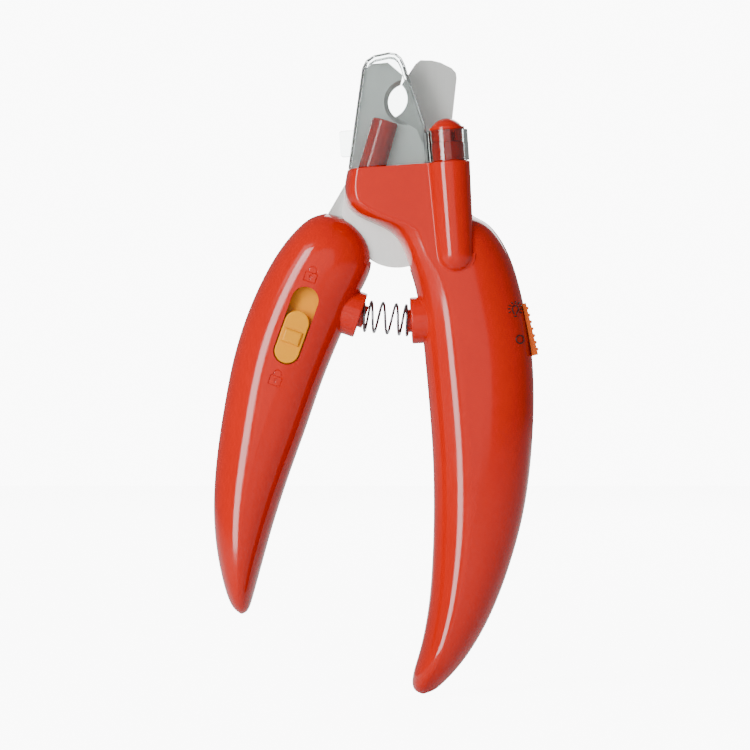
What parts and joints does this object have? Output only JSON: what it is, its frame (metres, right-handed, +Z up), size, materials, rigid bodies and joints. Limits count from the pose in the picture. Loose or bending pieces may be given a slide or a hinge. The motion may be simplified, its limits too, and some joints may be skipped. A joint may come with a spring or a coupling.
{
  "type": "pet nail clipper",
  "caption": "Crossed-blade pet nail clipper with sprung curved handles, sliding lock, clear hinged clipping guard and a built-in aiming light",
  "frame": {"origin": "on the blades' pivot axis, on the flat back face of the head", "axes": "+X to the right handle seen from the front, +Y out of the back, +Z up towards the blade tips; the front faces -Y"},
  "size_m": [0.0811, 0.0235, 0.1595],
  "materials": {
    "red_shell": "gloss injection moulded",
    "blade_steel": "brushed, ground bevel",
    "zinc_fastener": "zinc plated",
    "spring_wire": "bright nickel plated wire",
    "clear_guard": "clear polycarbonate",
    "yellow_slider": "gloss injection moulded",
    "orange_switch": "gloss injection moulded",
    "lamp_lens": "smoked epoxy lens",
    "wire_sheath": "PVC insulation",
    "cell_can": "nickel plated can",
    "contact_metal": "spring brass strip",
    "circuit_board": "solder-masked board",
    "switch_housing": "moulded nylon"
  },
  "bodies": {
    "right_handle": {"right_front_shell": "red_shell", "right_rear_shell": "red_shell", "right_shell_screws": "zinc_fastener", "fixed_blade": "blade_steel", "fixed_blade_screws": "zinc_fastener", "pivot_bolt": "zinc_fastener", "pivot_washer": "zinc_fastener", "pivot_nut": "zinc_fastener", "guard_cap": "red_shell", "led_tube": "red_shell", "led_lamp": "lamp_lens", "led_wires": "wire_sheath", "spring_seat_right": "red_shell", "battery_door": "red_shell", "button_cells": "cell_can", "battery_contact_front": "contact_metal", "battery_contact_rear": "contact_metal", "light_circuit_board": "circuit_board", "slide_switch_body": "switch_housing", "return_spring": "spring_wire"},
    "left_handle": {"left_front_shell": "red_shell", "left_rear_shell": "red_shell", "left_shell_screws": "zinc_fastener", "moving_blade": "blade_steel", "moving_blade_screws": "zinc_fastener", "spring_seat_left": "red_shell"},
    "lock_slider": {"lock_button": "yellow_slider", "lock_bolt": "zinc_fastener"},
    "light_switch": {"light_switch_slider": "orange_switch"},
    "guard": {"nail_guard": "clear_guard"}
  },
  "joints": [
    {"name": "handle_squeeze", "type": "hinge", "parent": "right_handle", "child": "left_handle", "pos_m": [0, 0, 0], "axis": [0, -1, 0], "range_deg": [0, 16.5], "stiffness_Nm_per_rad": 0.6, "springref_deg": -20.05, "deforming": ["return_spring"]},
    {"name": "lock_slide", "type": "slide", "parent": "left_handle", "child": "lock_slider", "axis": [0.3347, 0, 0.9423], "range_m": [0, 0.0059]},
    {"name": "light_switch_slide", "type": "slide", "parent": "right_handle", "child": "light_switch", "axis": [-0.2328, 0, 0.9725], "range_m": [0, 0.003]},
    {"name": "guard_swing", "type": "hinge", "parent": "right_handle", "child": "guard", "pos_m": [0.01277, -0.0182, 0.01372], "axis": [-0.0698, 0, 0.9976], "range_deg": [0, 115]}
  ]
}
